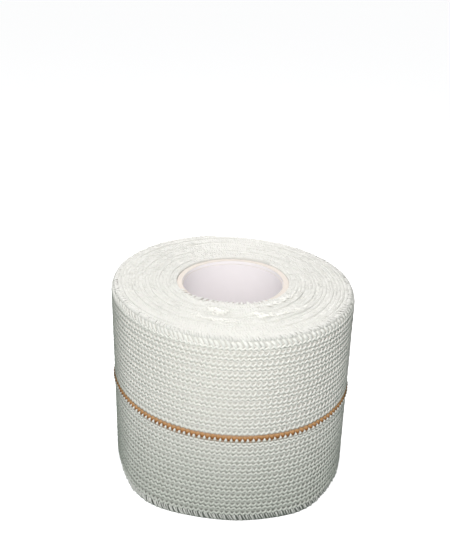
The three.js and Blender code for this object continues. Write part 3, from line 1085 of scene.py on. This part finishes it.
class BANDAGE_OT_fringes(Operator):
    """Thread ends at the rim, the base and over the core"""
    bl_idname = "bandage.fringes"
    bl_label = "Fringes"

    def execute(self, context):
        sizes, colours = context.scene.bandage_sizes, context.scene.bandage_colours
        material, shape = thread_ends(colours), stroke_shape()
        self.base_fringe(sizes, shape, material)
        self.rim_fringe(sizes, "rim_strokes", RIM_STROKES, shape, pulled_threads(colours))
        self.rim_fringe(sizes, "rim_fringe", RIM_ENDS, shape, material)
        self.bore_fringe(sizes, colours, shape, material)
        self.end_frays(sizes, shape, material)
        return {"FINISHED"}

    def repeats(self, sizes, seed):
        """Where the thread ends stand along the outer turn, and a seeded draw for each."""
        count = sizes.repeats
        x = (np.arange(count) + 0.5) / count * outer_length(sizes)
        return x, seeded_draw(seed, count, 6)

    def base_fringe(self, sizes, shape, material):
        """Below the first band: ends that slant down to the base, a broad and a thin one
        for each repeat."""
        placed = []
        for ends in BASE_ENDS:
            x, draw = self.repeats(sizes, ends["seed"])
            x = x + ends["shift"] * MM + 0.08 * MM * draw[:, 0]
            foot = np.maximum(uneven(draw[:, 1], 0.16, 0.16), 0.08 * MM)
            lean = uneven(draw[:, 2], 0.85, 0.14)
            start = flat_points(x, FIRST_VALLEY + 0.32 * MM, 0.26 * MM)
            end = flat_points(x + lean, foot, uneven(draw[:, 3], 0.16, 0.07))
            middle = (start + end) / 2 + np.array((-0.12, -0.1, 0.2)) * MM
            broad = ends["half_width"] * MM * (1 + WIDTH_SPREAD * draw[:, 4])
            placed.append(wind(sizes, strokes(shape, start, middle, end, broad, 0.14 * MM)))
        stroke_piece("base_fringe", shape, np.concatenate(placed), material)

    def rim_fringe(self, sizes, name, layers, shape, material):
        """Ends that slant up the side's last band or lean over the next turn."""
        placed, top = [], sizes.cloth_width
        for ends in layers:
            x, draw = self.repeats(sizes, ends["seed"])
            x = x + ends["shift"] * MM + 0.06 * MM * draw[:, 0]
            off_cloth = ends["off_cloth"]
            reach = uneven(draw[:, 1], ends["end"], 0.16)
            start = flat_points(x, top + ends["start"] * MM, (off_cloth + 0.04) * MM)
            end = flat_points(
                x - ends["lean"] * MM, top + reach, uneven(draw[:, 2], off_cloth - 0.06, 0.06))
            middle = (start + end) / 2 + np.array((0.1, 0, ends["arch"])) * MM
            broad = ends["half_width"] * MM * (1 + WIDTH_SPREAD * draw[:, 3])
            placed.append(wind(sizes, strokes(shape, start, middle, end, broad, 0.16 * MM)))
        stroke_piece(name, shape, np.concatenate(placed), material)

    def bore_fringe(self, sizes, colours, shape, material):
        """The first turn's ends, which comb over the core's rim at the front."""
        draw = seeded_draw(620, BORE_ENDS, 6)
        azimuth = np.radians(np.linspace(*BORE_SPAN, BORE_ENDS))
        azimuth = azimuth + np.radians(BORE_UNEVENNESS) * draw[:, 0]
        leaning = lip_lean(azimuth)
        radius = sizes.first_radius - LIP_REACH * leaning
        top = sizes.cloth_width
        gaps = azimuth[GAP_SHADE_ENDS] + np.radians(GAP_SHADE_SHIFT)
        self.sticky_gaps(shape, gaps, radius[GAP_SHADE_ENDS], top, colours)
        reach = uneven(draw[:, 1], 0.75 + 0.4 * leaning, 0.16)
        along = uneven(draw[:, 2], 0.35, 0.22)
        start = flat_points(0 * along, 1.0 * MM, top - 0.02 * MM)
        middle = flat_points(along / 2, 0.1 * MM, top + 0.22 * MM)
        end = flat_points(along, -reach, top - uneven(draw[:, 3], 0.3, 0.1))
        broad = 0.36 * MM * (1 + 0.15 * draw[:, 4])
        flat = strokes(shape, start, middle, end, broad, 0.18 * MM)
        stroke_piece("bore_fringe", shape, on_turn(flat, azimuth, radius), material)

    def sticky_gaps(self, shape, azimuth, radius, top, colours):
        """Dark strokes of painted shade between the first turn's ends that lean inwards."""
        draw = seeded_draw(621, len(azimuth), 3)
        zero = 0 * azimuth
        start = flat_points(zero, 0.35 * MM, top + 0.02 * MM)
        middle = flat_points(zero + 0.1 * MM, -0.1 * MM, top + 0.12 * MM)
        end = flat_points(0.25 * MM, -uneven(draw[:, 0], 0.75, 0.15), top - 0.35 * MM)
        broad = 0.12 * MM * (1 + 0.3 * draw[:, 1])
        placed = on_turn(strokes(shape, start, middle, end, broad, 0.1 * MM), azimuth, radius)
        finish = finish_named("Sticky side", thread_end_material, colours.sticky, colours.sticky)
        stroke_piece("sticky_gaps", shape, placed, finish)

    def end_frays(self, sizes, shape, material):
        """Cut yarn ends along the strip's end, which droop on the turn below."""
        per_band = 5
        count = BANDS * per_band
        draw = seeded_draw(630, count, 6)
        y = FIRST_VALLEY + (np.arange(count) + 0.5) * sizes.band_pitch / per_band
        y = np.minimum(y, sizes.cloth_width - 0.3 * MM)
        reach = uneven(np.abs(draw[:, 0]), 0.55, 0.2)
        start = flat_points(0.3 * MM, y, 0.2 * MM)
        middle = flat_points(-reach / 3, y, 0.2 * MM)
        end = flat_points(-reach, y + 0.15 * MM * draw[:, 1], -0.3 * MM)
        placed = wind(sizes, strokes(shape, start, middle, end, 0.13 * MM, 0.12 * MM))
        stroke_piece("end_frays", shape, placed, material)


class BANDAGE_OT_edges(Operator):
    """Thread loops on the edges of the wound turns, above and below"""
    bl_idname = "bandage.edges"
    bl_label = "Cloth edges"

    def execute(self, context):
        sizes, colours = context.scene.bandage_sizes, context.scene.bandage_colours
        material, shape = thread_ends(colours), stroke_shape()
        self.top_loops(sizes, shape, material)
        self.base_loops(sizes, shape, material)
        self.ruffles(sizes, shape, pulled_threads(colours))
        self.loose_hairs(sizes, shape, material)
        return {"FINISHED"}

    def along_strip(self, sizes, first, spacing):
        """Turns at even distances along the strip, from one turn to its start."""
        fine = np.linspace(first, turn_count(sizes) - 0.02, 20000)
        inner, outer, azimuth, _ = cloth_edges(sizes, fine)
        step = (inner + outer)[1:] / 2 * np.diff(azimuth)
        length = np.concatenate(([0], np.cumsum(step)))
        return np.interp(np.arange(0, length[-1], spacing), length, fine)

    def top_loops(self, sizes, shape, material):
        """A loop over the edge at each thread, across the cloth's thickness."""
        turn = self.along_strip(sizes, 1.03, sizes.loop_spacing)
        inner, outer, azimuth, top = cloth_edges(sizes, turn)
        draw = seeded_draw(700, len(turn), 7)
        radius = (inner + outer) / 2 - 0.8 * lip_by_turn(sizes, turn, azimuth)
        half = uneven(draw[:, 0], 0.42, 0.05)
        lean = uneven(draw[:, 1], 0.12, 0.12)
        low = top - uneven(draw[:, 2], 0.10, 0.05)
        shift = 0.06 * MM * draw[:, 3]
        start = flat_points(-lean, -half + shift, low)
        end = flat_points(lean, half + shift, low)
        middle = flat_points(0, shift, top + uneven(draw[:, 4], 0.20, 0.08))
        broad = uneven(draw[:, 5], 0.125, 0.02)
        flat = strokes(shape, start, middle, end, broad, 0.11 * MM)
        stroke_piece("edge_loops_top", shape, on_turn(flat, azimuth, radius), material)

    def base_loops(self, sizes, shape, material):
        turn = self.along_strip(sizes, 0.0, 2.4 * sizes.loop_spacing)
        inner, outer, azimuth, _ = cloth_edges(sizes, turn)
        draw = seeded_draw(710, len(turn), 3)
        half = uneven(draw[:, 0], 0.34, 0.04)
        lean = uneven(draw[:, 1], 0.1, 0.1)
        low = 0.13 * MM
        start = flat_points(-lean, -half, low)
        middle = flat_points(0 * lean, 0, low)
        end = flat_points(lean, half, low)
        flat = strokes(shape, start, middle, end, 0.14 * MM, 0.11 * MM)
        placed = on_turn(flat, azimuth, (inner + outer) / 2)
        stroke_piece("edge_loops_base", shape, placed, material)

    def ruffles(self, sizes, shape, material):
        """Pulled threads that stand on the raised turns at the front, thickest on the two
        highest."""
        placed = []
        for at, mound in enumerate(m for m in TOP_MOUNDS if m["height"] > 0):
            kind = TUFT if mound["height"] > TUFT_HEIGHT else RUFFLE
            count = int(1.1 * mound["half_span"]) + kind["extra"]
            draw = seeded_draw(720 + at, count, 8)
            spread = math.radians(mound["half_span"]) * kind["spread"]
            azimuth = math.radians(mound["azimuth"] + kind["turned"]) + spread * draw[:, 0]
            from_axis = mound["radius"] + kind["outwards"]
            radius = uneven(draw[:, 1], from_axis, 0.35 * mound["half_width"])
            top = top_height(sizes, radius, azimuth)
            half = uneven(np.abs(draw[:, 2]), kind["half"], 0.2)
            slant = 0.4 * draw[:, 3] + kind["slant"]
            along, across = half * np.cos(slant), half * np.sin(slant)
            low = top + uneven(draw[:, 4], 0.02, 0.08)
            start = flat_points(-along, -across, low)
            middle = flat_points(0, 0, top + uneven(draw[:, 6], 0.4, 0.15))
            end = flat_points(along, across, low + 0.12 * MM * draw[:, 5])
            broad = kind["broad"] * MM
            flat = strokes(shape, start, middle, end, broad, 0.8 * broad)
            placed.append(on_turn(flat, azimuth, radius))
        stroke_piece("ruffled_threads", shape, np.concatenate(placed), material)

    def loose_hairs(self, sizes, shape, material):
        """A few long fibres that have come loose and lie on the top face."""
        hairs = np.array(LOOSE_HAIRS)
        radius, azimuth = hairs[:, 0] * MM, np.radians(hairs[:, 1])
        along = hairs[:, 2] * MM * np.cos(hairs[:, 3])
        across = hairs[:, 2] * MM * np.sin(hairs[:, 3])
        high = top_height(sizes, radius, azimuth) + 0.22 * MM
        start = flat_points(-along, -across, high - 0.1 * MM)
        middle = flat_points(-0.5 * across, 0.5 * along, high + 0.35 * MM)
        end = flat_points(along, across, high - 0.1 * MM)
        flat = strokes(shape, start, middle, end, 0.035 * MM, 0.035 * MM)
        stroke_piece("loose_hairs", shape, on_turn(flat, azimuth, radius), material)


class BANDAGE_OT_stage(Operator):
    """Pale floor, soft studio light and the camera"""
    bl_idname = "bandage.stage"
    bl_label = "Stage"

    def execute(self, context):
        self.floor(context.scene.bandage_colours)
        self.lights()
        self.world(context.scene)
        self.camera(context.scene)
        view = context.scene.view_settings
        view.view_transform = "Standard"
        view.look = "None"
        view.exposure = 0.0
        return {"FINISHED"}

    def floor(self, colours):
        deselect_all()
        bpy.ops.mesh.primitive_circle_add(
            vertices=96, radius=FLOOR_RADIUS, fill_type="NGON", location=(0, 0, 0))
        ground = made("studio_floor")
        settle(ground)
        ground.data.materials.append(finish_named("Studio floor", floor_material, colours))

    def lights(self):
        for softbox in LAMPS:
            lamp = bpy.data.lights.new(softbox["name"], "AREA")
            lamp.shape = "DISK"
            lamp.size = softbox["size"]
            lamp.energy = softbox["power"]
            lamp.color = softbox["colour"]
            obj = bpy.data.objects.new(softbox["name"], lamp)
            obj.location = softbox["place"]
            aim = Vector(softbox["target"]) - Vector(softbox["place"])
            obj.rotation_euler = aim.to_track_quat("-Z", "Y").to_euler()
            obj.visible_camera = False
            bpy.context.collection.objects.link(obj)

    def world(self, scene):
        """Even fill from all round, in front of a backdrop as pale as the floor."""
        world = bpy.data.worlds.new("Studio fill")
        world.use_nodes = True
        tree = world.node_tree
        fill = tree.nodes["Background"]
        fill.inputs["Color"].default_value = FILL_COLOUR
        fill.inputs["Strength"].default_value = FILL_STRENGTH
        backdrop = node(tree, "ShaderNodeBackground", {"Color": BACKDROP_COLOUR})
        seen = node(tree, "ShaderNodeLightPath").outputs["Is Camera Ray"]
        mix = node(tree, "ShaderNodeMixShader", {
            0: seen, 1: fill.outputs["Background"], 2: backdrop.outputs["Background"]})
        tree.links.new(mix.outputs["Shader"], tree.nodes["World Output"].inputs["Surface"])
        scene.world = world

    def camera(self, scene):
        """A level view turned down, then rolled, then aimed off the roll's middle."""
        shot = CAMERA
        middle = Vector((0, 0, scene.bandage_sizes.cloth_width / 2))
        sin_e, cos_e = math.sin(shot["elevation"]), math.cos(shot["elevation"])
        forward = Vector((0, cos_e, -sin_e))
        right = Vector((1, 0, 0))
        up = right.cross(forward)
        turned_right = math.cos(shot["roll"]) * right - math.sin(shot["roll"]) * up
        turned_up = math.sin(shot["roll"]) * right + math.cos(shot["roll"]) * up
        aside, above = shot["aim_right"], shot["aim_up"]
        look = (turned_right * math.cos(above) * math.sin(aside) + turned_up * math.sin(above)
                + forward * math.cos(above) * math.cos(aside))
        across = turned_right * math.cos(aside) - forward * math.sin(aside)
        over = across.cross(look)
        data = bpy.data.cameras.new("Photo camera")
        data.sensor_width = shot["sensor"]
        data.lens = shot["lens"]
        data.clip_start, data.clip_end = 0.005, 20.0
        obj = bpy.data.objects.new("Photo camera", data)
        axes = Matrix((across, over, -look)).transposed().to_4x4()
        obj.matrix_world = Matrix.Translation(middle - forward * shot["distance"]) @ axes
        bpy.context.collection.objects.link(obj)
        scene.camera = obj


STEPS = (
    BANDAGE_OT_stage,
    BANDAGE_OT_core,
    BANDAGE_OT_cloth,
    BANDAGE_OT_weave,
    BANDAGE_OT_marker,
    BANDAGE_OT_fringes,
    BANDAGE_OT_edges,
)


class BANDAGE_PT_sidebar(Panel):
    """Lists the sizes, the colours and one button for each piece"""
    bl_label = "Elastic bandage roll"
    bl_space_type = "VIEW_3D"
    bl_region_type = "UI"
    bl_category = "Bandage"

    def draw(self, context):
        for group in (context.scene.bandage_sizes, context.scene.bandage_colours):
            box = self.layout.box()
            for name in group.__annotations__:
                box.prop(group, name)
        for step in STEPS:
            self.layout.operator(step.bl_idname)


CLASSES = (BandageSizes, BandageColours) + STEPS + (BANDAGE_PT_sidebar,)


def register():
    for cls in CLASSES:
        bpy.utils.register_class(cls)
    bpy.types.Scene.bandage_sizes = PointerProperty(type=BandageSizes)
    bpy.types.Scene.bandage_colours = PointerProperty(type=BandageColours)


def unregister():
    del bpy.types.Scene.bandage_colours
    del bpy.types.Scene.bandage_sizes
    for cls in reversed(CLASSES):
        bpy.utils.unregister_class(cls)


def main():
    register()
    fibre_fuzz_group()
    yarn_twist_group()
    for step in STEPS:
        group, name = step.bl_idname.split(".")
        if getattr(getattr(bpy.ops, group), name)() != {"FINISHED"}:
            raise RuntimeError(f"{step.bl_label} was not finished")


if __name__ == "__main__":
    main()
